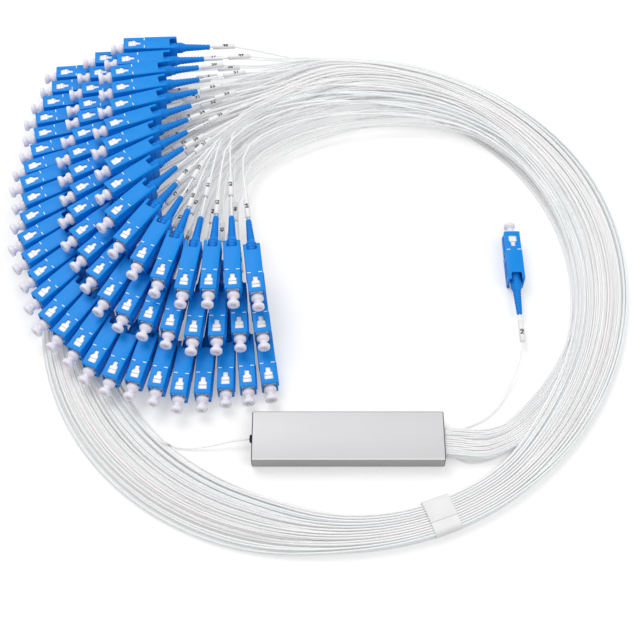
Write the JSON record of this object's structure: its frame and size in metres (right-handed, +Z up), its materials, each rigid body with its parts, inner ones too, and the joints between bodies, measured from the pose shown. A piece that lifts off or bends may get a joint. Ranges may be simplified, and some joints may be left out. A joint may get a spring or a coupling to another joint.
{
  "type": "plc fibre splitter",
  "caption": "Optical fibre splitter: slim metal box with one input tail and many output tails in a tied ring, each ending in a square push-pull connector with dust cap.",
  "frame": {"origin": "middle of the metal box's underside, on the surface that the splitter lies on", "axes": "+X along the box towards the output tails, +Z up through the box's flat top"},
  "size_m": [0.2976, 0.2774, 0.0328],
  "materials": {
    "housing_metal": "brushed stainless sheet, satin",
    "end_cap": "moulded black plastic",
    "resin": "cured sealing resin",
    "gland": "black rubber",
    "foam_pad": "white foam tape",
    "module_steel": "thin drawn steel",
    "silica": "polished silica",
    "fibre_ribbon": "ribbon matrix, clear coat",
    "fibre_tube": "white furcation tubing, slightly translucent",
    "strap": "white hook and loop strap",
    "blue_plastic": "moulded blue plastic, satin",
    "frame_plastic": "moulded white plastic",
    "ferrule": "polished zirconia",
    "spring_steel": "plain steel",
    "dark_plastic": "moulded plastic",
    "boot_rubber": "soft blue boot",
    "sleeve_plastic": "white heat-shrink sleeve",
    "cap_plastic": "milky translucent plastic"
  },
  "bodies": {
    "root": {"housing_tube": "housing_metal", "input_end_cap": "end_cap", "output_end_cap": "end_cap", "exit_resin": "resin", "input_gland": "gland", "adhesive_pad": "foam_pad", "module_case": "module_steel", "input_seal": "resin", "output_seal": "resin", "splitter_chip": "silica", "chip_cover": "silica", "input_fibre_array": "silica", "output_fibre_array": "silica", "bare_input_fibre": "fibre_tube", "fanout_block": "end_cap", "output_ribbons": "fibre_ribbon", "input_plug_frame": "frame_plastic", "input_spring_stop": "dark_plastic", "input_boot": "boot_rubber", "input_label_sleeve": "sleeve_plastic", "input_spring": "spring_steel", "fibre_coil": "fibre_tube", "coil_strap": "strap", "input_tail": "fibre_tube", "output_lead": "fibre_tube", "output_plug_frames": "frame_plastic", "output_ferrules": "ferrule", "output_plugs": "blue_plastic", "output_dust_caps": "cap_plastic", "output_boots": "boot_rubber", "output_tails": "fibre_tube", "output_label_sleeves": "sleeve_plastic"},
    "input_grip": {"input_grip": "blue_plastic"},
    "input_ferrule": {"input_ferrule": "ferrule", "input_ferrule_flange": "spring_steel"},
    "input_dust_cap": {"input_dust_cap": "cap_plastic"},
    "output_grip_1": {"output_grip_1": "blue_plastic"},
    "output_dust_cap_1": {"output_dust_cap_1": "cap_plastic"},
    "output_grip_2": {"output_grip_2": "blue_plastic"},
    "output_dust_cap_2": {"output_dust_cap_2": "cap_plastic"},
    "output_grip_3": {"output_grip_3": "blue_plastic"},
    "output_dust_cap_3": {"output_dust_cap_3": "cap_plastic"},
    "output_grip_4": {"output_grip_4": "blue_plastic"},
    "output_dust_cap_4": {"output_dust_cap_4": "cap_plastic"},
    "output_grip_5": {"output_grip_5": "blue_plastic"},
    "output_dust_cap_5": {"output_dust_cap_5": "cap_plastic"}
  },
  "joints": [
    {"name": "input_grip_slide", "type": "slide", "parent": "root", "child": "input_grip", "axis": [0.0175, -0.9998, 0], "range_m": [0, 0.002]},
    {"name": "input_ferrule_slide", "type": "slide", "parent": "root", "child": "input_ferrule", "axis": [0.0175, -0.9998, 0], "range_m": [0, 0.001], "stiffness_N_per_m": 1000, "deforming": ["input_spring"]},
    {"name": "input_dust_cap_pull", "type": "slide", "parent": "root", "child": "input_dust_cap", "axis": [-0.0175, 0.9998, 0], "range_m": [0, 0.02]},
    {"name": "output_grip_1_slide", "type": "slide", "parent": "root", "child": "output_grip_1", "axis": [0.9866, 0.1631, 0], "range_m": [0, 0.002]},
    {"name": "output_dust_cap_1_pull", "type": "slide", "parent": "root", "child": "output_dust_cap_1", "axis": [-0.9866, -0.1631, 0], "range_m": [0, 0.02]},
    {"name": "output_grip_2_slide", "type": "slide", "parent": "root", "child": "output_grip_2", "axis": [0.9112, 0.4119, 0], "range_m": [0, 0.002]},
    {"name": "output_dust_cap_2_pull", "type": "slide", "parent": "root", "child": "output_dust_cap_2", "axis": [-0.9112, -0.4119, 0], "range_m": [0, 0.02]},
    {"name": "output_grip_3_slide", "type": "slide", "parent": "root", "child": "output_grip_3", "axis": [0.7323, 0.681, 0], "range_m": [0, 0.002]},
    {"name": "output_dust_cap_3_pull", "type": "slide", "parent": "root", "child": "output_dust_cap_3", "axis": [-0.7323, -0.681, 0], "range_m": [0, 0.02]},
    {"name": "output_grip_4_slide", "type": "slide", "parent": "root", "child": "output_grip_4", "axis": [0.405, 0.9143, 0], "range_m": [0, 0.002]},
    {"name": "output_dust_cap_4_pull", "type": "slide", "parent": "root", "child": "output_dust_cap_4", "axis": [-0.405, -0.9143, 0], "range_m": [0, 0.02]},
    {"name": "output_grip_5_slide", "type": "slide", "parent": "root", "child": "output_grip_5", "axis": [0.0373, 0.9993, 0], "range_m": [0, 0.002]},
    {"name": "output_dust_cap_5_pull", "type": "slide", "parent": "root", "child": "output_dust_cap_5", "axis": [-0.0373, -0.9993, 0], "range_m": [0, 0.02]}
  ]
}
